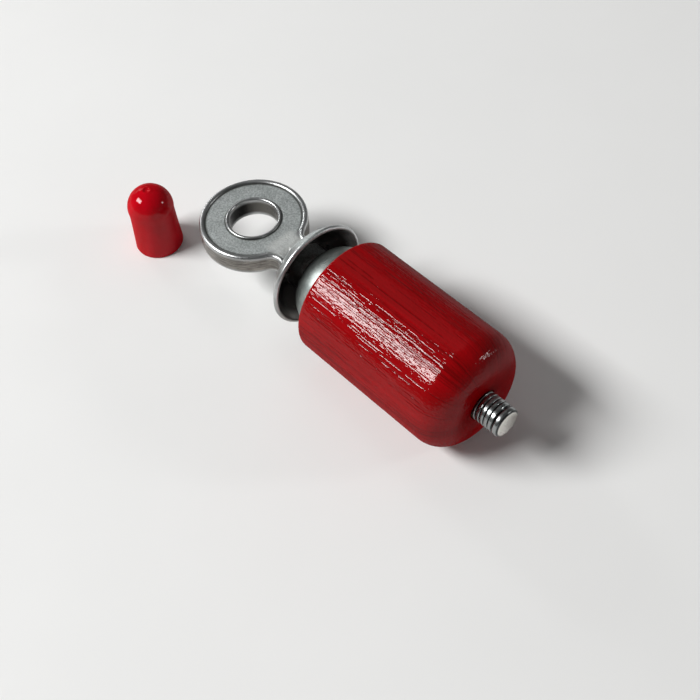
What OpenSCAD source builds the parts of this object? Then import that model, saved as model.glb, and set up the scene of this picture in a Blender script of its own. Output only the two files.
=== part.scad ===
// A twist bird call: a cast ring handle and a metal plug turn in the bore of a wooden barrel, and the
// rubbing of metal on wood makes the chirp. A threaded stud runs through the plug and the barrel.
// A small soft cap, with a cake of rosin in its closed end, stands beside the call.
// The call lies along X with its ring towards -X, Z is up, and the barrel's underside is at Z = 0.

/* [Barrel] */
// Diameter of the wooden barrel
barrel_d = 19.6; // [16:0.1:26]
// Length of the wooden barrel
barrel_len = 29.5; // [26:0.1:45]
// Radius of the rounding at the tail end
tail_round = 4.6; // [2:0.1:6]
// Radius of the small rounding at the mouth
mouth_round = 0.5; // [0.2:0.1:1]

/* [Plug] */
// Diameter of the plug that rubs in the bore
plug_d = 11; // [9:0.1:12]
// Length of the plug inside the bore
plug_len = 18; // [12:0.1:20]
// Largest diameter of the domed shoulder
shoulder_d = 14.6; // [14:0.1:17.5]
// Radius of the dome in section
dome_r = 5; // [3.5:0.1:5.6]
// Height of the shoulder's straight edge
shoulder_edge = 1.2; // [0.5:0.1:1.5]
// Play between the plug and its bore, all round
plug_play = 0.05; // [0.02:0.01:0.1]
// Gap between the shoulder and the mouth
seat_gap = 0.05; // [0.02:0.01:0.3]
// Free depth of the bore beyond the plug
bore_spare = 1; // [0.3:0.1:2]

/* [Stud] */
// Diameter of the stud over the thread on its free end
thread_d = 4.83; // [4.6:0.01:5.2]
// Diameter of the stud's plain shank
shank_d = 4.3; // [3.6:0.1:4.4]
// Length of stud that stands out of the tail
stub_len = 4.8; // [3:0.1:8]
// Gap between the barrel's tail and the start of the thread
thread_gap = 0.1; // [0.05:0.05:0.3]
// Chamfer at the stud's ends
stud_chamfer = 0.5; // [0.2:0.1:0.8]
// Play between the shank and its holes in plug and handle, all round
shank_play = 0.07; // [0.03:0.01:0.1]
// Play between the thread and the hole in the tail, all round
tail_play = 0.07; // [0.03:0.01:0.2]
// Depth of the stud's socket in the handle's boss
socket_depth = 3; // [2:0.1:3.5]
// Gap between the stud's inner end and the bottom of its socket
socket_gap = 0.3; // [0.2:0.1:0.5]

/* [Ring] */
// Outer diameter of the ring
ring_d = 17.9; // [16:0.1:24]
// Diameter of the eye through the ring
eye_d = 8.1; // [6:0.1:10]
// Thickness of the ring over its beads
ring_t = 3.7; // [3:0.1:5]
// Width of the raised bead round the rim
bead_w = 1; // [0.8:0.05:1.2]
// Width of the finer bead round the eye
eye_bead_w = 0.6; // [0.4:0.05:0.8]
// Depth of the flat field below the beads
field_depth = 0.35; // [0.2:0.05:0.6]

/* [Neck] */
// Radius of the hollows that draw in the neck's sides, each touching the ring and the dish
neck_hollow = 2; // [1.5:0.1:2.5]
// Length from the ring's edge to the back of the dish
neck_len = 1.7; // [1.2:0.1:2.4]
// Radius of the flare that rises from the neck to the back of the dish
flare_r = 2.6; // [2:0.1:3.2]

/* [Dish] */
// Diameter of the dish over its lip
dish_d = 17.9; // [16:0.1:20]
// Depth of the dish
dish_depth = 4.2; // [3.2:0.1:5]
// Thickness of the dish's wall
dish_wall = 0.8; // [0.7:0.1:1.2]
// Gap between the dish's lip and the barrel
dish_gap = 5.9; // [5.5:0.1:8]
// Diameter of the boss in the middle of the dish
boss_d = 7.6; // [7:0.1:9]

/* [Cap] */
// Diameter of the cap at its open end
cap_d = 8.2; // [7.8:0.1:10]
// Diameter of the cap's wall just under its dome
cap_neck_d = 7.6; // [7:0.1:7.8]
// Diameter of the dome at the closed end
cap_dome_d = 7.8; // [7.7:0.1:8.6]
// Height of the cap
cap_h = 12.6; // [11:0.1:18]
// Diameter of the hole in the cap
cap_bore_d = 4.8; // [4:0.1:5.2]
// Thickness of the cap's closed end, over the round end of its hole
cap_end_t = 1.9; // [1.2:0.1:2.4]
// Diameter of the dimple on the dome
dimple_d = 1.2; // [0.8:0.1:1.6]
// Depth of the dimple
dimple_depth = 0.2; // [0.1:0.05:0.4]
// Gap between the ring and the cap that stands beside it
cap_stand_gap = 6.1; // [2:0.1:12]

/* [Rosin] */
// Distance of the cake's free face inside the round end of the hole
cake_inset = 0.2; // [0.1:0.1:0.6]
// Depth of the hollow in the cake's free face
cake_hollow = 0.4; // [0.2:0.1:1]
// Play between the cake and the cap, all round
cake_play = 0.02; // [0.01:0.01:0.05]

/* [Hidden] */
$fn = 96;

// Direction from the ring's centre to the cap, in degrees
cap_bearing = 207.4;
// How far a cut runs past a face
over = 1;
// How far the ring's outer bead runs on where the neck's beads leave it, in degrees
bead_lap = 3;
// Size of the neck's beads next to the ring's
fade_share = 0.8;

// Heights and places along the call, from the barrel's mouth
axis_z = barrel_d / 2;
tail_x = barrel_len;
stub_x = tail_x + stub_len;
lip_x = -dish_gap - dish_wall / 2;
dish_r = dish_d / 2 - dish_wall / 2;
bowl_r = (dish_r * dish_r + dish_depth * dish_depth) / (2 * dish_depth);
bowl_x = lip_x - dish_depth + bowl_r;
back_r = bowl_r + dish_wall / 2;
dish_back_x = bowl_x - back_r;
ring_x = dish_back_x - neck_len - ring_d / 2;
shoulder_r = shoulder_d / 2;
dome_x = -seat_gap - shoulder_edge;
plug_top_x = dome_x - dome_r;
bore_depth = plug_len + bore_spare;
socket_x = plug_top_x - socket_depth;

// Each hollow touches the ring's edge on one side and the dish's round back on the other
ring_reach = ring_d / 2 + neck_hollow;
bowl_reach = back_r + neck_hollow;
span = bowl_x - ring_x;
hollow_dx = (span * span + ring_reach * ring_reach - bowl_reach * bowl_reach) / (2 * span);
hollow_y = sqrt(ring_reach * ring_reach - hollow_dx * hollow_dx);
ring_touch = atan2(hollow_y, hollow_dx);
bowl_touch = atan2(hollow_y, span - hollow_dx);

// The flare starts level with the plate and ends where it touches the dish's round back
web_t = ring_t - 2 * field_depth;
flare_y = web_t / 2 + flare_r;
flare_x = bowl_x - sqrt(pow(back_r + flare_r, 2) - pow(flare_y, 2));
flare_share = back_r / (back_r + flare_r);

// The cap stands on the same surface, clear of the ring
cap_reach = ring_d / 2 + cap_stand_gap + cap_d / 2;
cap_x = ring_x + cap_reach * cos(cap_bearing);
cap_y = cap_reach * sin(cap_bearing);
cap_bore_h = cap_h - cap_end_t - cap_bore_d / 2;

// The middle of the whole set, seen from above
low_x = min(cap_x - cap_d / 2, ring_x - ring_d / 2);
low_y = min(cap_y - cap_d / 2, -barrel_d / 2);
mid_x = (low_x + stub_x) / 2;
mid_y = (low_y + barrel_d / 2) / 2;

// Puts a shape in the row's frame, whose origin is under the middle of the set
module placed() {
    translate([-mid_x, -mid_y, 0]) children();
}

// Turns a half profile about the call's axis: its x is the radius and its y the place along the call
module turned() {
    translate([0, 0, axis_z]) rotate([0, 90, 0]) rotate_extrude() children();
}

// A strip with round ends, for the section of a bead that shows on both faces
module bead_section(w = bead_w, t = ring_t) {
    square([w, t - w], center = true);
    for (side = [-1, 1]) translate([0, side * (t - w) / 2]) circle(d = w);
}

// A flat plate in the middle of the ring's thickness
module web() {
    translate([0, 0, axis_z - web_t / 2]) linear_extrude(height = web_t) children();
}

// The eye ring: a flat field inside two beads, of which the outer one is open at the neck
module eye_ring() {
    translate([ring_x, 0, axis_z]) {
        rotate_extrude() {
            translate([(eye_d + eye_bead_w) / 2, 0]) bead_section(eye_bead_w);
            translate([(eye_d + eye_bead_w) / 2, -web_t / 2])
                square([(ring_d - bead_w - eye_d - eye_bead_w) / 2, web_t]);
        }
        open = ring_touch - bead_lap;
        rotate([0, 0, open]) rotate_extrude(angle = 360 - 2 * open)
            translate([(ring_d - bead_w) / 2, 0]) bead_section();
    }
}

// The neck's plate, drawn in between two hollows, in line with the ring's field
module neck_web() {
    start = (ring_d / 2 - bead_w) * cos(ring_touch);
    end = span - back_r * cos(bowl_touch);
    half = ring_d / 2 * sin(ring_touch);
    web() translate([ring_x, 0]) difference() {
        translate([start, -half]) square([end - start, 2 * half]);
        for (side = [-1, 1]) translate([hollow_dx, side * hollow_y])
            circle(r = neck_hollow + bead_w * fade_share / 2);
    }
}

// The beads along the neck's two edges, which carry on the ring's outer bead, fainter, to the dish
module neck_beads() {
    sweep = 180 - ring_touch - bowl_touch;
    w = bead_w * fade_share;
    t = web_t + 2 * field_depth * fade_share;
    for (side = [-1, 1])
        translate([ring_x + hollow_dx, side * hollow_y, axis_z])
            rotate([0, 0, side > 0 ? 180 + ring_touch : bowl_touch])
                rotate_extrude(angle = sweep) translate([neck_hollow + w / 2, 0]) bead_section(w, t);
}

// The round flare that rises out of the neck's plate to the back of the dish
module flare() {
    turned() difference() {
        translate([0, flare_x])
            square([flare_y * flare_share, bowl_x - (bowl_x - flare_x) * flare_share - flare_x]);
        translate([flare_y, flare_x]) circle(r = flare_r);
    }
}

// The dish: a thin bowl, open towards the barrel, with a round lip
module dish() {
    turned() {
        intersection() {
            translate([0, bowl_x]) difference() {
                circle(r = bowl_r + dish_wall / 2);
                circle(r = bowl_r - dish_wall / 2);
            }
            polygon([[0, bowl_x], [dish_r * 2, bowl_x + (lip_x - bowl_x) * 2],
                     [dish_r * 2, bowl_x - bowl_r * 2], [0, bowl_x - bowl_r * 2]]);
        }
        translate([dish_r, lip_x]) circle(d = dish_wall);
    }
}

// The boss in the dish, which stands on the plug's dome and holds the stud's end
module boss() {
    boss_back = dish_back_x + dish_wall / 2;
    turned() translate([0, boss_back]) square([boss_d / 2, plug_top_x - boss_back]);
}

// Ring, neck and dish in one casting
module ring_handle() {
    color([0.62, 0.64, 0.65]) difference() {
        union() {
            eye_ring();
            neck_web();
            neck_beads();
            flare();
            dish();
            boss();
        }
        turned() translate([0, socket_x]) square([shank_d / 2 + shank_play, socket_depth + over]);
    }
}

// The plug with its domed shoulder, bored through for the stud
module friction_plug() {
    color([0.55, 0.57, 0.58]) difference() {
        turned() {
            intersection() {
                translate([shoulder_r - dome_r, dome_x]) circle(r = dome_r);
                translate([shoulder_r - dome_r, plug_top_x]) square([dome_r, dome_r]);
            }
            translate([0, plug_top_x]) square([shoulder_r - dome_r, dome_r]);
            translate([0, dome_x]) square([shoulder_r, shoulder_edge]);
            polygon([[0, dome_x], [plug_d / 2, dome_x], [plug_d / 2, plug_len - stud_chamfer],
                     [plug_d / 2 - stud_chamfer, plug_len], [0, plug_len]]);
        }
        turned() translate([0, plug_top_x - over])
            square([shank_d / 2 + shank_play, plug_len - plug_top_x + 2 * over]);
    }
}

// The stud: a plain shank from the handle's boss to the barrel's tail, and a thicker threaded end
module tail_stud() {
    low = socket_x + socket_gap;
    thread_x = tail_x + thread_gap;
    color([0.75, 0.76, 0.78]) turned()
        polygon([[0, low], [shank_d / 2 - stud_chamfer, low], [shank_d / 2, low + stud_chamfer],
                 [shank_d / 2, thread_x], [thread_d / 2, thread_x], [thread_d / 2, stub_x - stud_chamfer],
                 [thread_d / 2 - stud_chamfer, stub_x], [0, stub_x]]);
}

// The wooden barrel with its stepped bore
module wood_barrel() {
    r = barrel_d / 2;
    color([0.5, 0.02, 0.05]) difference() {
        turned() {
            square([r - mouth_round, mouth_round]);
            translate([0, mouth_round]) square([r, tail_x - tail_round - mouth_round]);
            translate([0, tail_x - tail_round]) square([r - tail_round, tail_round]);
            translate([r - mouth_round, mouth_round]) circle(r = mouth_round);
            intersection() {
                translate([r - tail_round, tail_x - tail_round]) circle(r = tail_round);
                translate([r - tail_round, tail_x - tail_round]) square(tail_round);
            }
        }
        turned() translate([0, -over]) square([plug_d / 2 + plug_play, bore_depth + over]);
        turned() square([thread_d / 2 + tail_play, tail_x + over]);
    }
}

// The soft cap: a tapered wall, a bulging dome with a dimple, and a hole with a round end
module vinyl_cap() {
    dome_z = cap_h - cap_dome_d / 2;
    dimple_r = (pow(dimple_d / 2, 2) + pow(dimple_depth, 2)) / (2 * dimple_depth);
    color([0.72, 0.02, 0.06]) translate([cap_x, cap_y, 0]) difference() {
        union() {
            cylinder(d1 = cap_d, d2 = cap_neck_d, h = dome_z);
            translate([0, 0, dome_z]) sphere(d = cap_dome_d);
        }
        translate([0, 0, -over]) cylinder(d = cap_bore_d, h = cap_bore_h + over);
        translate([0, 0, cap_bore_h]) sphere(d = cap_bore_d);
        translate([0, 0, cap_h - dimple_depth + dimple_r]) sphere(r = dimple_r);
    }
}

// The rosin cake, poured into the round end of the cap's hole, with a hollow in its free face
module rosin_cake() {
    cake_r = cap_bore_d / 2 - cake_play;
    face_r = sqrt(cake_r * cake_r - cake_inset * cake_inset);
    hollow_r = (face_r * face_r + cake_hollow * cake_hollow) / (2 * cake_hollow);
    color([0.8, 0.5, 0.15]) translate([cap_x, cap_y, cap_bore_h]) difference() {
        sphere(r = cake_r);
        translate([0, 0, cake_inset - cap_h / 2]) cube([cap_d, cap_d, cap_h], center = true);
        translate([0, 0, cake_inset + cake_hollow - hollow_r]) sphere(r = hollow_r);
    }
}

placed() ring_handle();
placed() friction_plug();
placed() tail_stud();
placed() wood_barrel();
placed() vinyl_cap();
placed() rosin_cake();
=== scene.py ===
"""Looks for the twist bird call: materials, the dressed pieces, floor, light and camera, in metres."""
import math
import random
import bmesh
import bpy
from mathutils import Matrix, Quaternion, Vector, noise


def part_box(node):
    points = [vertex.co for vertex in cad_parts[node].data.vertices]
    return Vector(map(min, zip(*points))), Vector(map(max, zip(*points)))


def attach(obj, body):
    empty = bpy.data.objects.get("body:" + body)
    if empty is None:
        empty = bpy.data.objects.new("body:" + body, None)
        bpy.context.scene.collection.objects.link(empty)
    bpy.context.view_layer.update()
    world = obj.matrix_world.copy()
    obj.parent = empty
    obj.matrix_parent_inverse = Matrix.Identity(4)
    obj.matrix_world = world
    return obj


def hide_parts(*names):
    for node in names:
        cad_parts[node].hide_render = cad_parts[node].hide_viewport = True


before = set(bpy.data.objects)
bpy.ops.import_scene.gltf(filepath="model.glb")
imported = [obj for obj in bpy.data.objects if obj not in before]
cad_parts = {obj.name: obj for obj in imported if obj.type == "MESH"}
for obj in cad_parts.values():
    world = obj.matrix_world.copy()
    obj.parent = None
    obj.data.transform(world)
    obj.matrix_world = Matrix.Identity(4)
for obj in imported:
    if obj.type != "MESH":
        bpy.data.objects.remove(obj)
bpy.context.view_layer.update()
MM = 0.001
QUARTER = math.pi / 2

# Places that the CAD gives: the call's axis and ends, the handle, the plug, the stud and the cap
barrel_lo, barrel_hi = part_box("wood_barrel")
ring_lo, ring_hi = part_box("ring_handle")
stud_lo, stud_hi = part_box("tail_stud")
cap_lo, cap_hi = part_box("vinyl_cap")
AXIS_Y = (barrel_lo.y + barrel_hi.y) / 2
AXIS_Z = (barrel_lo.z + barrel_hi.z) / 2
MOUTH_X = barrel_lo.x
TAIL_X = barrel_hi.x
BARREL_LEN = TAIL_X - MOUTH_X
BARREL_R = (barrel_hi.z - barrel_lo.z) / 2
DISH_LIP_X = ring_hi.x
PLUG_TOP_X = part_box("friction_plug")[0].x
CAP_X = (cap_lo.x + cap_hi.x) / 2
CAP_Y = (cap_lo.y + cap_hi.y) / 2
CAP_H = cap_hi.z

# Sizes of the solids that their boxes don't give
RING_R = 8.95 * MM
RING_X = ring_lo.x + RING_R
RING_HALF_T = 1.85 * MM
DISH_R = 8.95 * MM
EYE_R = 4.05 * MM
RIM_BEAD_W = 1.0 * MM
EYE_BEAD_W = 0.6 * MM
MOUTH_ROUND = 0.5 * MM
TAIL_ROUND = 4.6 * MM
BORE_R = 5.55 * MM
BORE_DEPTH = 19.0 * MM
TAIL_HOLE_R = 2.485 * MM
SHANK_R = 2.15 * MM
CREST_R = 2.415 * MM
CAP_FOOT_R = 4.1 * MM
CAP_NECK_R = 3.8 * MM
CAP_DOME_R = 3.9 * MM
CAP_BORE_R = 2.4 * MM
CAP_BORE_TOP = 8.3 * MM

# The barrel's mesh: columns round it, and how close a second row lies to each sharp edge
BARREL_COLS = 960
EDGE = 0.08 * MM

# The camera stands where the photograph's perspective puts it
CAMERA_AT = (0.09932, -0.07485, 0.15599)
CAMERA_RIGHT = (0.68336, 0.72777, -0.05802)
CAMERA_UP = (-0.55706, 0.57114, 0.60290)
CAMERA_LENS = 62.80

# Coat on paint and vinyl: a high IOR under a low weight keeps the highlights strong and the sides deep red
COAT_IOR = 2.5

# Noise seldom leaves this range, so ramps over it start and end here
LOW, HIGH = 0.3, 0.7


def colour(r, g, b):
    return (r, g, b, 1.0)


# Tones of the casting, from clean metal to patina and painted shade, with a painted highlight for the neck,
# and of the turned plug and the stud, with painted shade in both and a painted highlight on the stud's cut
# end
ZINC_DULL, ZINC_CLEAN = colour(0.42, 0.43, 0.43), colour(0.60, 0.61, 0.61)
FIELD_DULL, FIELD_CLEAN = colour(0.42, 0.46, 0.45), colour(0.66, 0.70, 0.69)
# Painted highlight: a pale tone on the neck's plate that stands for the key light's highlight there
NECK_PAINTED_HIGHLIGHT = colour(0.80, 0.82, 0.80)
# Painted shade: the dish is made darker towards its bottom
DISH_PAINTED_SHADE = colour(0.16, 0.15, 0.135)
# Patina streaks on the ring's outer wall, which is also darkened all over as painted shade
WALL_PATINA_AND_SHADE_DARK, WALL_PATINA_AND_SHADE_PALE = colour(0.07, 0.06, 0.05), colour(0.27, 0.25, 0.22)
# Painted shade in the eye: near black on its near side, lighter towards its far side
EYE_PAINTED_SHADE_DARK, EYE_PAINTED_SHADE_PALE = colour(0.004, 0.003, 0.003), colour(0.10, 0.095, 0.085)
# Painted shade in the corners at the feet of both beads
CORNER_PAINTED_SHADE = colour(0.07, 0.07, 0.065)
# Painted shade: the dish's inside near black
HOLLOW_PAINTED_SHADE = colour(0.02, 0.018, 0.016)
PLUG_DULL, PLUG_CLEAN = colour(0.24, 0.27, 0.26), colour(0.38, 0.42, 0.40)
# Painted shade for the plug where it sits deep in the dish
PLUG_PAINTED_SHADE = colour(0.05, 0.05, 0.045)
# Painted shade in the thread's roots
ROOT_PAINTED_SHADE_DARK, ROOT_PAINTED_SHADE_PALE = colour(0.02, 0.02, 0.02), colour(0.07, 0.075, 0.075)
STEEL_DULL, STEEL_WORN = colour(0.22, 0.235, 0.235), colour(0.42, 0.44, 0.44)
# A fresh cut end, made paler still as a painted highlight
STEEL_CUT_AND_HIGHLIGHT = colour(0.80, 0.78, 0.73)

# Tones of the wood, the vinyl, the rosin and the floor
LACQUER_DEEP, LACQUER_RED = colour(0.235, 0.0002, 0.0012), colour(0.295, 0.0006, 0.0024)
# Grain streaks, and painted shade in the grain's grooves
LACQUER_STREAK, LACQUER_GROOVE_SHADE = colour(0.12, 0.0, 0.0), colour(0.06, 0.0, 0.0)
BIRCH_CLEAN, BIRCH_RUBBED = colour(0.46, 0.31, 0.17), colour(0.19, 0.125, 0.07)
VINYL_DEEP, VINYL_RED = colour(0.37, 0.0006, 0.004), colour(0.47, 0.0012, 0.008)
ROSIN_AMBER, ROSIN_DUST = colour(0.55, 0.22, 0.03), colour(0.80, 0.60, 0.30)
FLOOR_DIM, FLOOR_PALE = colour(0.80, 0.80, 0.79), colour(0.84, 0.84, 0.83)


# Meshes

def grid_mesh(name, rows, cols, point, close_rows=False):
    """A surface of rows x cols points that closes round its columns, from point(i, j)."""
    verts = [point(i, j) for i in range(rows) for j in range(cols)]
    faces = []
    for i in range(rows if close_rows else rows - 1):
        row, next_row = i * cols, (i + 1) % rows * cols
        for j in range(cols):
            beside = (j + 1) % cols
            faces.append((row + j, row + beside, next_row + beside, next_row + j))
    mesh = bpy.data.meshes.new(name)
    mesh.from_pydata(verts, [], faces)
    mesh.update()
    return mesh


def close_ends(mesh, rows, cols):
    """Fans the first and last row of a grid mesh to a point in its middle."""
    bm = bmesh.new()
    bm.from_mesh(mesh)
    bm.verts.ensure_lookup_table()
    for first in (0, (rows - 1) * cols):
        ring = [bm.verts[first + j] for j in range(cols)]
        middle = bm.verts.new(sum((v.co for v in ring), Vector()) / cols)
        bm.verts.ensure_lookup_table()
        for j in range(cols):
            bm.faces.new((ring[j], ring[(j + 1) % cols], middle))
    bmesh.ops.recalc_face_normals(bm, faces=bm.faces)
    bm.to_mesh(mesh)
    bm.free()


def face_outward(mesh):
    """Makes the normals of a closed mesh point outward."""
    bm = bmesh.new()
    bm.from_mesh(mesh)
    bmesh.ops.recalc_face_normals(bm, faces=bm.faces)
    bm.to_mesh(mesh)
    bm.free()


def place(name, data):
    """A new object with this data, linked to the scene."""
    piece = bpy.data.objects.new(name, data)
    bpy.context.scene.collection.objects.link(piece)
    return piece


def add_piece(mesh, material, body, slot, *nodes):
    """Links a mesh as a smooth piece that rides a body and stands for CAD nodes."""
    mesh.shade_smooth()
    piece = place(mesh.name, mesh)
    piece.data.materials.append(material)
    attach(piece, body)
    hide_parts(*nodes)


# Materials

class Nodes:
    """Adds nodes to one new material and links them."""

    def __init__(self, name):
        self.material = bpy.data.materials.new(name)
        self.material.use_nodes = True
        self.tree = self.material.node_tree
        self.shader = self.tree.nodes["Principled BSDF"]
        self.coords = self.add("ShaderNodeTexCoord").outputs["Object"]

    def add(self, kind, **settings):
        node = self.tree.nodes.new(kind)
        for key, value in settings.items():
            setattr(node, key, value)
        return node

    def put(self, socket, value):
        """Links a value that comes from a node, or writes a plain one."""
        if isinstance(value, bpy.types.NodeSocket):
            self.tree.links.new(value, socket)
        else:
            socket.default_value = value

    def set(self, **values):
        """Sets the shader's inputs, such as Base_Color."""
        for key, value in values.items():
            self.put(self.shader.inputs[key.replace("_", " ")], value)

    def math(self, operation, a, b=0.0):
        node = self.add("ShaderNodeMath", operation=operation)
        self.put(node.inputs[0], a)
        self.put(node.inputs[1], b)
        return node.outputs[0]

    def product(self, first, *others):
        for other in others:
            first = self.math("MULTIPLY", first, other)
        return first

    def distance(self, value, middle):
        return self.math("ABSOLUTE", self.math("SUBTRACT", value, middle))

    def split(self, vector):
        node = self.add("ShaderNodeSeparateXYZ")
        self.put(node.inputs[0], vector)
        return node.outputs

    def xyz(self):
        return self.split(self.coords)

    def stretched(self, scale):
        """The piece's coordinates times a scale for each of x, y and z, in noise cells per metre."""
        node = self.add("ShaderNodeMapping")
        self.put(node.inputs["Vector"], self.coords)
        node.inputs["Scale"].default_value = scale
        return node.outputs[0]

    def along_and_round(self, along, around):
        """Coordinates along the call's axis and round the barrel, each in noise cells per metre."""
        x, y, z = self.xyz()
        turn = self.math("ARCTAN2", self.math("SUBTRACT", y, AXIS_Y), self.math("SUBTRACT", z, AXIS_Z))
        node = self.add("ShaderNodeCombineXYZ")
        self.put(node.inputs[0], self.math("MULTIPLY", x, along))
        self.put(node.inputs[1], self.math("MULTIPLY", turn, BARREL_R * around))
        return node.outputs[0]

    def noise(self, scale, detail, roughness=0.55, vector=None):
        node = self.add("ShaderNodeTexNoise")
        self.put(node.inputs["Vector"], vector or self.coords)
        node.inputs["Scale"].default_value = scale
        node.inputs["Detail"].default_value = detail
        node.inputs["Roughness"].default_value = roughness
        return node.outputs[0]

    def ramp(self, value, low, high, to_low=0.0, to_high=1.0):
        """Goes smoothly from to_low to to_high while the value goes from low to high."""
        node = self.add("ShaderNodeMapRange", interpolation_type="SMOOTHSTEP")
        for key, amount in zip(("Value", "From Min", "From Max", "To Min", "To Max"),
                               (value, low, high, to_low, to_high)):
            self.put(node.inputs[key], amount)
        return node.outputs[0]

    def fall(self, value, low, high):
        """Goes smoothly from 1 to 0 while the value goes from low to high."""
        return self.ramp(value, low, high, 1.0, 0.0)

    def blend(self, amount, first, second):
        node = self.add("ShaderNodeMix", data_type="RGBA")
        self.put(node.inputs[0], amount)
        self.put(node.inputs[6], first)
        self.put(node.inputs[7], second)
        return node.outputs[2]

    def bump(self, height, strength, distance, under=None):
        node = self.add("ShaderNodeBump")
        node.inputs["Strength"].default_value = strength
        node.inputs["Distance"].default_value = distance
        self.put(node.inputs["Height"], height)
        if under is not None:
            self.put(node.inputs["Normal"], under)
        return node.outputs[0]


def radius_from(n, a, b, mid_a, mid_b):
    """Distance of the point from a line, across the two coordinates a and b."""
    da = n.math("SUBTRACT", a, mid_a)
    db = n.math("SUBTRACT", b, mid_b)
    return n.math("SQRT", n.math("ADD", n.math("MULTIPLY", da, da), n.math("MULTIPLY", db, db)))


def neck_zone(n, x, y):
    """Share of the neck's plate, between the ring and the dish."""
    past_field = n.ramp(x, RING_X + 5.6 * MM, RING_X + 6.8 * MM)
    between_hollows = n.fall(n.distance(y, AXIS_Y), 2.0 * MM, 3.4 * MM)
    return n.product(past_field, between_hollows)


def field_zone(n, r_ring, flat, neck):
    """Share of the flat field between the two beads, which runs on over the neck."""
    past_eye = n.ramp(r_ring, EYE_R + EYE_BEAD_W * 0.8, EYE_R + EYE_BEAD_W * 1.3)
    before_rim = n.fall(r_ring, RING_R - RIM_BEAD_W * 1.15, RING_R - RIM_BEAD_W * 0.8)
    field = n.product(past_eye, before_rim, flat)
    return n.math("MAXIMUM", field, n.product(neck, flat))


def corner_shade_zone(n, x, r_ring, flat, neck):
    """Share of the painted shade in the corners along the feet of both beads, which ends before the neck.
    """
    eye_corner = n.fall(n.distance(r_ring, EYE_R + EYE_BEAD_W), 0.0, 0.26 * MM)
    rim_corner = n.fall(n.distance(r_ring, RING_R - RIM_BEAD_W), 0.0, 0.34 * MM)
    near_ring = n.fall(x, RING_X + 6.0 * MM, RING_X + 7.8 * MM)
    off_neck = n.math("SUBTRACT", 1.0, neck)
    return n.product(n.math("MAXIMUM", eye_corner, rim_corner), flat, near_ring, off_neck)


def wall_zones(n, x, r_ring, level):
    """Shares of the eye's wall, which gets painted shade, and of the ring's outer wall, which gets patina
    streaks and painted shade, between the beads of both faces.
    """
    below_bead = n.fall(level, RING_HALF_T * 0.45, RING_HALF_T * 0.95)
    eye_wall_shade = n.fall(r_ring, EYE_R + 0.05 * MM, EYE_R + 0.3 * MM)
    rim_wall = n.ramp(r_ring, RING_R - 0.5 * MM, RING_R - 0.1 * MM)
    before_dish = n.fall(x, DISH_LIP_X - 6.2 * MM, DISH_LIP_X - 5.0 * MM)
    return n.product(eye_wall_shade, below_bead), n.product(rim_wall, below_bead, before_dish)


def hollow_shade_zone(n, x, y, z):
    """Share of the dish's inside, which faces the barrel and gets painted shade."""
    r_axis = radius_from(n, y, z, AXIS_Y, AXIS_Z)
    behind_lip = n.fall(x, DISH_LIP_X - 1.5 * MM, DISH_LIP_X - 0.35 * MM)
    inside = n.fall(r_axis, DISH_R - 1.3 * MM, DISH_R - 0.5 * MM)
    normal = n.split(n.add("ShaderNodeNewGeometry").outputs["Normal"])
    faces_barrel = n.ramp(normal[0], -0.1, 0.25)
    past_back = n.ramp(x, DISH_LIP_X - 6.6 * MM, DISH_LIP_X - 5.6 * MM)
    return n.product(behind_lip, inside, faces_barrel, past_back)


def bare_zinc(n, x, z, field, neck):
    """The casting's clean metal, speckled in the field, with a painted highlight on the neck and painted
    shade low on the dish.
    """
    cloud = n.ramp(n.noise(260.0, detail=4.0, roughness=0.6), LOW, HIGH)
    speckle = n.ramp(n.noise(3600.0, detail=2.0, roughness=0.6), 0.38, 0.62)
    grain = n.blend(speckle, FIELD_DULL, FIELD_CLEAN)
    before_dish = n.fall(x, DISH_LIP_X - 6.6 * MM, DISH_LIP_X - 5.2 * MM)
    on_dish = n.ramp(x, DISH_LIP_X - 6.0 * MM, DISH_LIP_X - 4.0 * MM)
    low = n.fall(z, AXIS_Z - 6.0 * MM, AXIS_Z + 3.0 * MM)
    base = n.blend(cloud, ZINC_DULL, ZINC_CLEAN)
    base = n.blend(n.product(field, 0.8), base, grain)
    # Painted highlight on the neck's plate, fading out before the dish
    base = n.blend(n.product(neck, before_dish, 0.8), base, NECK_PAINTED_HIGHLIGHT)
    # Painted shade: the dish darker towards its bottom
    return n.blend(n.product(on_dish, low, 0.75), base, DISH_PAINTED_SHADE)


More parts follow.
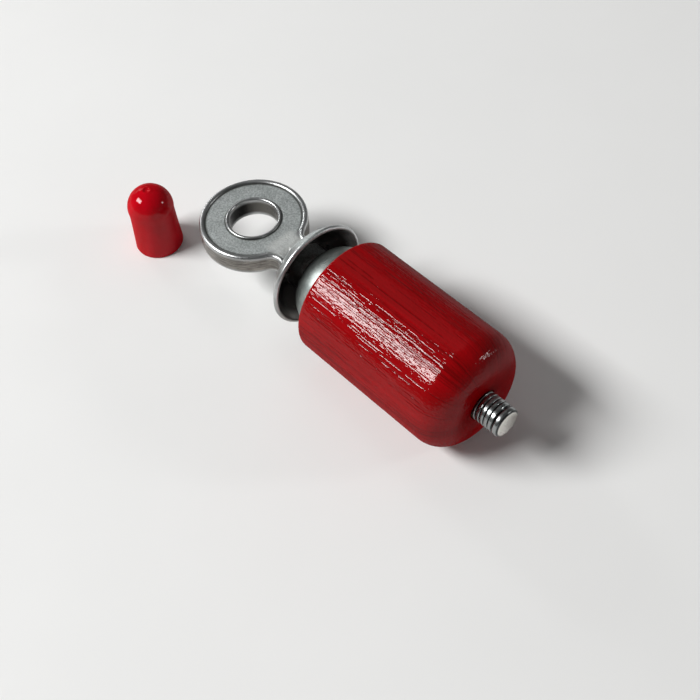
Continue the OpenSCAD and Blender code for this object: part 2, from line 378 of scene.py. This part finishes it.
def zinc_casting():
    """Tumbled cast zinc: pebbled field, bright beads and lip, patina streaks on the outer wall, and painted
    shade in the corners, the eye, the dish and over the outer wall.
    """
    n = Nodes("cast_zinc_tumbled")
    x, y, z = n.xyz()
    r_ring = radius_from(n, x, y, RING_X, AXIS_Y)
    level = n.distance(z, AXIS_Z)
    flat = n.ramp(level, RING_HALF_T * 0.6, RING_HALF_T * 0.7)
    neck = neck_zone(n, x, y)
    field = field_zone(n, r_ring, flat, neck)
    corner_shade = corner_shade_zone(n, x, r_ring, flat, neck)
    eye_wall_shade, rim_wall = wall_zones(n, x, r_ring, level)
    hollow_shade = hollow_shade_zone(n, x, y, z)

    streaks = n.noise(1.0, detail=3.0, roughness=0.65, vector=n.stretched((420.0, 420.0, 5200.0)))
    # Patina streaks, and painted shade that darkens the whole outer wall
    wall_patina_and_shade = n.blend(n.ramp(streaks, 0.35, 0.65), WALL_PATINA_AND_SHADE_DARK, WALL_PATINA_AND_SHADE_PALE)
    far_side = n.ramp(y, AXIS_Y + 0.5 * MM, AXIS_Y + 3.8 * MM)
    base = bare_zinc(n, x, z, field, neck)
    base = n.blend(n.product(rim_wall, 0.9), base, wall_patina_and_shade)
    # Painted shade on the eye's wall, lighter towards its far side
    base = n.blend(n.product(eye_wall_shade, 0.97), base, n.blend(far_side, EYE_PAINTED_SHADE_DARK, EYE_PAINTED_SHADE_PALE))
    # Painted shade in the corners at the feet of the beads
    base = n.blend(n.product(corner_shade, 0.85), base, CORNER_PAINTED_SHADE)
    # Painted shade: the dish's inside near black
    base = n.blend(n.product(hollow_shade, 0.95), base, HOLLOW_PAINTED_SHADE)

    # The field is rougher and more pebbled than the beads, the neck and the dish
    satin = n.ramp(n.noise(900.0, detail=4.0, roughness=0.6), LOW, HIGH, 0.27, 0.35)
    n.set(Base_Color=base, Metallic=1.0, Roughness=n.math("ADD", satin, n.product(field, 0.24)))
    height = n.math("ADD", 0.4, n.product(field, 0.6))
    pebbles = n.product(n.noise(2700.0, detail=3.0, roughness=0.6), height)
    normal = n.bump(pebbles, strength=0.8, distance=0.07 * MM)
    normal = n.bump(n.product(streaks, rim_wall), strength=0.5, distance=0.05 * MM, under=normal)
    fine = n.noise(9000.0, detail=2.0, roughness=0.5)
    n.set(Normal=n.bump(fine, strength=0.2, distance=0.02 * MM, under=normal))
    return n.material


def satin_zinc():
    """The turned plug: fine rings round its axis under a satin sheen, with painted shade where it sits deep
    in the dish.
    """
    n = Nodes("satin_zinc_turned")
    turning = n.noise(1.0, detail=2.0, roughness=0.6, vector=n.stretched((9000.0, 60.0, 60.0)))
    cloud = n.ramp(n.noise(700.0, detail=5.0, roughness=0.65), LOW, HIGH)
    # Painted shade: darker towards the dish, deep inside it
    dish_shade = n.ramp(n.xyz()[0], PLUG_TOP_X + 0.3 * MM, PLUG_TOP_X + 5.2 * MM, 0.95, 0.0)
    n.set(Base_Color=n.blend(dish_shade, n.blend(cloud, PLUG_DULL, PLUG_CLEAN), PLUG_PAINTED_SHADE))
    n.set(Metallic=1.0, Roughness=n.ramp(turning, LOW, HIGH, 0.42, 0.54))
    n.set(Normal=n.bump(turning, strength=0.12, distance=0.02 * MM))
    return n.material


def bright_steel():
    """Steel: a bright shank, then a rolled thread with worn crests and painted shade in its roots, and a
    clean cut end that is also a painted highlight.
    """
    n = Nodes("bright_steel")
    x, y, z = n.xyz()
    r_axis = radius_from(n, y, z, AXIS_Y, AXIS_Z)
    smear = n.noise(1.0, detail=3.0, roughness=0.6, vector=n.stretched((900.0, 400.0, 400.0)))
    shank = n.ramp(x, TAIL_X - 0.25 * MM, TAIL_X + 0.05 * MM, 0.8, 0.0)
    crest = n.math("MAXIMUM", n.ramp(r_axis, CREST_R - 0.155 * MM, CREST_R - 0.025 * MM), shank)
    # The cut end is a fresh cut and also a painted highlight
    cut_end_and_highlight = n.ramp(x, stud_hi.x - 0.12 * MM, stud_hi.x - 0.02 * MM)
    # Painted shade in the thread's roots
    root_shade = n.blend(smear, ROOT_PAINTED_SHADE_DARK, ROOT_PAINTED_SHADE_PALE)
    clean = n.blend(cut_end_and_highlight, n.blend(smear, STEEL_DULL, STEEL_WORN), STEEL_CUT_AND_HIGHLIGHT)
    n.set(Base_Color=n.blend(n.math("MAXIMUM", crest, cut_end_and_highlight), root_shade, clean))
    n.set(Metallic=1.0, Roughness=n.ramp(smear, LOW, HIGH, 0.20, 0.34))
    n.set(Normal=n.bump(n.noise(5000.0, detail=2.0), strength=0.2, distance=0.02 * MM))
    return n.material


def bare_birch(n):
    """The unpainted wood of the bore, rubbed dark in places, and the share of the barrel that it covers."""
    x, y, z = n.xyz()
    inside = n.fall(radius_from(n, y, z, AXIS_Y, AXIS_Z), BORE_R + 0.02 * MM, BORE_R + 0.08 * MM)
    bore = n.product(inside, n.fall(x, TAIL_X - 0.5 * MM, TAIL_X - 0.3 * MM))
    grain = n.noise(1.0, detail=4.0, roughness=0.6, vector=n.stretched((300.0, 900.0, 900.0)))
    return bore, n.blend(n.ramp(grain, 0.35, 0.65), BIRCH_CLEAN, BIRCH_RUBBED)


def red_lacquer():
    """Dark red lacquer over birch: painted shade in the cut grain, with orange peel; bare wood in the bore.
    """
    n = Nodes("red_lacquer_on_birch")
    cut = n.add("ShaderNodeAttribute", attribute_name="cut").outputs["Fac"]
    streak = n.noise(1.0, detail=2.0, roughness=0.5, vector=n.along_and_round(40.0, 2600.0))
    cloud = n.noise(1.0, detail=3.0, roughness=0.5, vector=n.stretched((60.0, 260.0, 260.0)))
    peel = n.noise(1.0, detail=1.5, roughness=0.5, vector=n.stretched((1200.0, 2900.0, 2900.0)))
    base = n.blend(n.ramp(cloud, LOW, HIGH), LACQUER_DEEP, LACQUER_RED)
    base = n.blend(n.ramp(streak, 0.35, 0.60, 0.22, 0.0), base, LACQUER_STREAK)
    # Painted shade in the grain's grooves, by their depth
    base = n.blend(n.product(cut, 0.6), base, LACQUER_GROOVE_SHADE)
    bore, birch = bare_birch(n)
    n.set(Base_Color=n.blend(bore, base, birch), Roughness=n.ramp(streak, LOW, HIGH, 0.5, 0.4))
    n.set(Specular_IOR_Level=0.0, Coat_Weight=0.125, Coat_Roughness=0.09, Coat_IOR=COAT_IOR)
    skin = n.bump(peel, strength=1.0, distance=0.06 * MM)
    n.set(Normal=skin, Coat_Normal=skin)
    return n.material


def glossy_vinyl():
    """Dip-moulded vinyl: deep glossy red, a little wavy where it drained."""
    n = Nodes("glossy_red_vinyl")
    flow = n.noise(1.0, detail=3.0, roughness=0.5, vector=n.stretched((260.0, 260.0, 130.0)))
    n.set(Base_Color=n.blend(n.ramp(flow, LOW, HIGH), VINYL_DEEP, VINYL_RED))
    n.set(Roughness=n.ramp(n.noise(900.0, detail=3.0), LOW, HIGH, 0.40, 0.50))
    n.set(Specular_IOR_Level=0.0, Coat_Weight=0.11, Coat_Roughness=0.05, Coat_IOR=COAT_IOR)
    n.set(Normal=n.bump(flow, strength=0.25, distance=0.12 * MM))
    return n.material


def amber_rosin():
    """Poured rosin: amber, with dusty scratches from use."""
    n = Nodes("amber_rosin")
    dust = n.noise(2400.0, detail=4.0, roughness=0.6)
    n.set(Base_Color=n.blend(n.ramp(dust, 0.4, HIGH), ROSIN_AMBER, ROSIN_DUST))
    n.set(Roughness=n.ramp(dust, LOW, HIGH, 0.18, 0.55), Subsurface_Weight=0.2)
    n.set(Normal=n.bump(dust, strength=0.3, distance=0.04 * MM))
    return n.material


# The barrel

def barrel_profile():
    """The barrel's outline as (x, radius, share of grain depth), round the wood and through the bore."""
    mouth_rows, straight_rows, tail_rows = 6, 68, 16
    end_share = 0.2
    tail_lead = 0.15 * MM
    face_r = BARREL_R - MOUTH_ROUND
    straight = BARREL_LEN - MOUTH_ROUND - TAIL_ROUND
    points = [(0.0, r, 0.0) for r in (BORE_R, BORE_R + EDGE, face_r - EDGE, face_r)]
    for k in range(1, mouth_rows + 1):
        a = QUARTER * k / mouth_rows
        points.append((MOUTH_ROUND * (1 - math.cos(a)), face_r + MOUTH_ROUND * math.sin(a), end_share))
    for k in range(1, straight_rows):
        points.append((MOUTH_ROUND + straight * k / straight_rows, BARREL_R, 1.0))
    for k in range(tail_rows + 1):
        a = QUARTER * k / tail_rows
        x = BARREL_LEN - TAIL_ROUND + TAIL_ROUND * math.sin(a)
        r = BARREL_R - TAIL_ROUND + TAIL_ROUND * math.cos(a)
        points.append((x, r, 1.0 - (1.0 - end_share) * k / tail_rows))
    inside = [(BARREL_LEN, TAIL_HOLE_R + tail_lead), (BARREL_LEN - tail_lead, TAIL_HOLE_R)]
    inside += [(BORE_DEPTH, r) for r in (TAIL_HOLE_R, TAIL_HOLE_R + EDGE, BORE_R - EDGE, BORE_R)]
    inside += [(BORE_DEPTH - EDGE, BORE_R), (EDGE, BORE_R)]
    points += [(x, r, 0.0) for x, r in inside]
    return points


def grain_grooves():
    """Where the open grain is cut: each column's strokes, as (start, end, depth, seed)."""
    dice = random.Random(11)
    cols_per_cluster, spread_cols = 13, 18
    cluster_sizes = (2, 3, 5, 9)
    lengths_mm, depths_mm = (6.0, 14.0, 24.0, 36.0), (0.02, 0.035, 0.05)
    side_shares = ((-1, 0.5), (0, 1.0), (1, 0.5))
    strokes = [[] for _ in range(BARREL_COLS)]
    for _ in range(BARREL_COLS // cols_per_cluster):
        middle = dice.randrange(BARREL_COLS)
        for _ in range(dice.choice(cluster_sizes)):
            column = round(dice.gauss(middle, spread_cols)) % BARREL_COLS
            start = dice.uniform(-16.0, 25.0) * MM
            length = dice.choice(lengths_mm) * dice.uniform(0.6, 1.4) * MM
            depth = dice.choice(depths_mm) * MM
            seed = dice.uniform(0.0, 90.0)
            for side, share in side_shares:
                stroke = (start, start + length, depth * share, seed)
                strokes[(column + side) % BARREL_COLS].append(stroke)
    return strokes


def groove_depth(strokes, x):
    """Depth of one column's grain at a place along it, broken up into dashes that fade at both ends."""
    fade_len = 0.5 * MM
    dashes_per_m, dash_middle, dash_contrast = 800.0, 1.1, 2.0
    cut = 0.0
    for start, end, depth, seed in strokes:
        from_end = min(x - start, end - x) / fade_len
        if from_end > 0.0:
            dash = dash_middle + dash_contrast * noise.noise(Vector((x * dashes_per_m, seed, 0.0)))
            cut = max(cut, depth * min(1.0, from_end) * max(0.0, min(1.0, dash)))
    return cut


def wood_barrel():
    """The barrel with its open grain cut into the lacquered wood."""
    profile = barrel_profile()
    strokes = grain_grooves()
    cells_per_m, cells_round = 90.0, 3.0
    swell_height = 0.012 * MM
    full_shade_depth = 0.04 * MM

    def point(i, j):
        x, r, share = profile[i]
        a = math.tau * j / BARREL_COLS
        y, z = math.cos(a), math.sin(a)
        swell = noise.noise(Vector((x * cells_per_m, y * cells_round, z * cells_round))) * swell_height
        r = r - share * max(0.0, groove_depth(strokes[j], x) + swell)
        return (MOUTH_X + x, AXIS_Y + r * y, AXIS_Z + r * z)

    mesh = grid_mesh("barrel_lacquered", len(profile), BARREL_COLS, point, close_rows=True)
    # Each point's groove depth, kept for the lacquer's painted shade in the grooves
    depths = [groove_depth(column, x) * share for x, _, share in profile for column in strokes]
    groove_shade = mesh.attributes.new("cut", "FLOAT", "POINT")
    groove_shade.data.foreach_set("value", [min(1.0, depth / full_shade_depth) for depth in depths])
    face_outward(mesh)
    add_piece(mesh, red_lacquer(), "barrel", "painted_birch", "wood_barrel")


# The stud

def thread_radius(x, turn, start, end):
    """Radius of the rolled thread at a place along it and a share of a turn; it fades in and out."""
    pitch, depth, crown = 0.794 * MM, 0.20 * MM, 0.025 * MM
    fade_in, fade_out, least_fade = 0.3 * MM, 0.25 * MM, 0.35
    crest_share, flank_share = 0.68, 0.30
    tooth = abs(2 * (((x - start) / pitch - turn) % 1.0) - 1)
    fade = min(1.0, (x - start) / fade_in, (end - x) / fade_out + least_fade)
    root = max(0.0, min(1.0, (tooth - crest_share) / flank_share))
    return CREST_R - depth * root * max(0.0, fade) - crown * tooth * tooth


def threaded_stud():
    """The stud: a plain shank, then a rolled thread that ends in a groove and a smooth lead."""
    cols, steps = 96, 96
    shank_lead, shank_gap = 0.5 * MM, 0.02 * MM
    start_gap, lead_len = 0.1 * MM, 1.35 * MM
    start, end = TAIL_X + start_gap, stud_hi.x - lead_len
    # The groove and the smooth lead past the thread, as (distance, radius) in mm
    lead = [(0.10, 2.02), (0.22, 2.02), (0.30, 2.30), (0.38, 2.40), (0.55, 2.415), (0.90, 2.415),
            (1.05, 2.36), (1.17, 2.26), (1.27, 2.12), (1.33, 1.96), (1.35, 1.80)]
    stations = [(stud_lo.x, SHANK_R - shank_lead), (stud_lo.x + shank_lead, SHANK_R)]
    stations += [(start - shank_gap, SHANK_R)]
    stations += [(start + (end - start) * k / steps, None) for k in range(steps + 1)]
    stations += [(end + dx * MM, r * MM) for dx, r in lead]

    def point(i, j):
        x, r = stations[i]
        a = math.tau * j / cols
        if r is None:
            r = thread_radius(x, j / cols, start, end)
        return (x, AXIS_Y + r * math.cos(a), AXIS_Z + r * math.sin(a))

    mesh = grid_mesh("stud_threaded", len(stations), cols, point)
    close_ends(mesh, len(stations), cols)
    add_piece(mesh, bright_steel(), "stud", "steel", "tail_stud")


# The cap

def cap_outside():
    """The cap's outside as (radius, height), from its hole's edge up to the crater."""
    wall_rows, dome_rows = 20, 34
    below_dome, crater_row = -2, 29
    rim_top, wall_short = 0.28 * MM, 0.9 * MM
    taper_power, crater_sag = 0.85, 0.4
    dome_z = CAP_H - CAP_DOME_R
    # The rim's rounding as (inset, height), and the crater as (radius, height over the dome), in mm
    rim = [(0.25, 0.0), (0.07, 0.08)]
    crater = [(0.84, -0.01), (0.73, 0.02), (0.62, 0.01), (0.50, -0.06), (0.34, -0.17), (0.16, -0.22)]
    outline = [(CAP_BORE_R, 0.0)]
    outline += [(CAP_FOOT_R - inset * MM, z * MM) for inset, z in rim]
    outline.append((CAP_FOOT_R, rim_top))
    for k in range(1, wall_rows):
        t = k / wall_rows
        r = CAP_FOOT_R + (CAP_NECK_R - CAP_FOOT_R) * t ** taper_power
        outline.append((r, rim_top + (dome_z - wall_short) * t))
    for k in range(below_dome, crater_row):
        a = QUARTER * k / dome_rows
        outline.append((CAP_DOME_R * math.cos(a), dome_z + CAP_DOME_R * math.sin(a)))
    for r, dz in crater:
        sag = (r * MM) ** 2 / (2 * CAP_DOME_R) * crater_sag
        outline.append((r * MM, CAP_H + dz * MM - sag))
    return outline


def cap_hole():
    """The cap's hole as (radius, height), from above its edge up to near the top of its round end."""
    wall_rows, round_rows = 8, 17
    hole = [(CAP_BORE_R, CAP_BORE_TOP * k / wall_rows) for k in range(1, wall_rows + 1)]
    for k in range(1, round_rows):
        a = QUARTER * k / round_rows
        hole.append((CAP_BORE_R * math.cos(a), CAP_BORE_TOP + CAP_BORE_R * math.sin(a)))
    return hole


def dipped_cap():
    """The dip-moulded cap: flared rim, slight waist, bulging dome and a crater with a raised edge."""
    cols = 96
    outside, hole = cap_outside(), cap_hole()
    cells_round, cells_per_m = 1.1, 240.0
    wave_height, full_wave_r = 0.03 * MM, 2 * MM
    crater_depth = 0.23 * MM
    flat_rows = 2

    def point(r, z, j, wavy):
        a = math.tau * j / cols
        wave = noise.noise(Vector((math.cos(a) * cells_round, math.sin(a) * cells_round, z * cells_per_m)))
        r = r + wave * wave_height * min(1.0, r / full_wave_r) * wavy
        return (CAP_X + r * math.cos(a), CAP_Y + r * math.sin(a), z)

    verts = [point(r, z, j, 0.0 if i < flat_rows else 1.0) for i, (r, z) in enumerate(outside)
             for j in range(cols)]
    verts += [point(r, z, j, 0.0) for r, z in hole for j in range(cols)]
    crater_tip, hole_tip = len(verts), len(verts) + 1
    verts += [(CAP_X, CAP_Y, CAP_H - crater_depth), (CAP_X, CAP_Y, CAP_BORE_TOP + CAP_BORE_R)]
    order = list(reversed(range(len(outside)))) + list(range(len(outside), len(outside) + len(hole)))
    faces = []
    for a, b in zip(order, order[1:]):
        for j in range(cols):
            k = (j + 1) % cols
            faces.append((a * cols + j, a * cols + k, b * cols + k, b * cols + j))
    for row, tip in ((order[0], crater_tip), (order[-1], hole_tip)):
        for j in range(cols):
            faces.append((row * cols + j, row * cols + (j + 1) % cols, tip))
    mesh = bpy.data.meshes.new("cap_dipped")
    mesh.from_pydata(verts, [], faces)
    face_outward(mesh)
    add_piece(mesh, glossy_vinyl(), "cap", "red_vinyl", "vinyl_cap")


def dress(node, material):
    """Gives a kept CAD node its finish."""
    for slot in bpy.data.objects[node].material_slots:
        slot.material = material


# Floor, light and camera

def floor():
    """A wide pale floor with a very faint mottle."""
    n = Nodes("pale_floor")
    mottle = n.noise(30.0, detail=3.0)
    n.set(Base_Color=n.blend(mottle, FLOOR_DIM, FLOOR_PALE), Roughness=0.7, Specular_IOR_Level=0.2)
    half_width = 3.0
    corners = [(x * half_width, y * half_width, 0) for x, y in ((-1, -1), (1, -1), (1, 1), (-1, 1))]
    mesh = bpy.data.meshes.new("floor")
    mesh.from_pydata(corners, [], [(0, 1, 2, 3)])
    piece = place("floor", mesh)
    piece.data.materials.append(n.material)


def lamp(name, azimuth, elevation, distance, width, height, power, spin=0.0):
    """A soft box that looks at the call from an azimuth (from +X towards +Y) and elevation in degrees."""
    aim = Vector((0.008, 0.0, 0.010))
    data = bpy.data.lights.new(name, "AREA")
    data.shape = "RECTANGLE"
    data.size = width
    data.size_y = height
    data.energy = power
    a, e = math.radians(azimuth), math.radians(elevation)
    way = Vector((math.cos(a) * math.cos(e), math.sin(a) * math.cos(e), math.sin(e)))
    turn = Quaternion((0.0, 0.0, 1.0), math.radians(spin))
    piece = place(name, data)
    piece.location = aim + way * distance
    piece.rotation_mode = "QUATERNION"
    piece.rotation_quaternion = way.to_track_quat("Z", "Y") @ turn


def surroundings():
    """A world that is pale at the horizon and darker overhead."""
    world = bpy.data.worlds.new("studio")
    world.use_nodes = True
    bpy.context.scene.world = world
    tree = world.node_tree
    place_on_sky = tree.nodes.new("ShaderNodeTexCoord")
    split = tree.nodes.new("ShaderNodeSeparateXYZ")
    band = tree.nodes.new("ShaderNodeMapRange")
    for key, amount in (("From Min", 0.05), ("From Max", 0.60), ("To Min", 0.18), ("To Max", 0.08)):
        band.inputs[key].default_value = amount
    tree.links.new(place_on_sky.outputs["Generated"], split.inputs[0])
    tree.links.new(split.outputs["Z"], band.inputs["Value"])
    tree.links.new(band.outputs[0], tree.nodes["Background"].inputs["Color"])


def studio():
    """A long key that lies along the call at the front left, a small side light, and weak lights behind."""
    surroundings()
    lamp("key", azimuth=-128.0, elevation=43.0, distance=1.05, width=0.55, height=0.275, power=13.1,
         spin=26.0)
    lamp("back", azimuth=141.0, elevation=52.0, distance=1.25, width=0.75, height=0.75, power=0.31)
    lamp("side", azimuth=48.0, elevation=22.0, distance=1.25, width=0.14, height=0.14, power=1.7)
    lamp("low", azimuth=173.3, elevation=24.5, distance=1.25, width=0.14, height=0.22, power=1.1)
    lamp("rim", azimuth=168.0, elevation=14.0, distance=1.25, width=0.85, height=0.15, power=1.0)


def camera():
    """The photograph's own viewpoint."""
    data = bpy.data.cameras.new("camera")
    data.lens = CAMERA_LENS
    data.clip_start = 0.01
    right, up = Vector(CAMERA_RIGHT).normalized(), Vector(CAMERA_UP).normalized()
    back = right.cross(up).normalized()
    up = back.cross(right)
    turn = Matrix((right, up, back)).transposed().to_4x4()
    piece = place("camera", data)
    piece.matrix_world = Matrix.Translation(CAMERA_AT) @ turn
    bpy.context.scene.camera = piece


camera()
studio()
floor()
dress("ring_handle", zinc_casting())
dress("friction_plug", satin_zinc())
dress("rosin_cake", amber_rosin())
wood_barrel()
threaded_stud()
dipped_cap()

bpy.context.scene.view_settings.view_transform = "Standard"
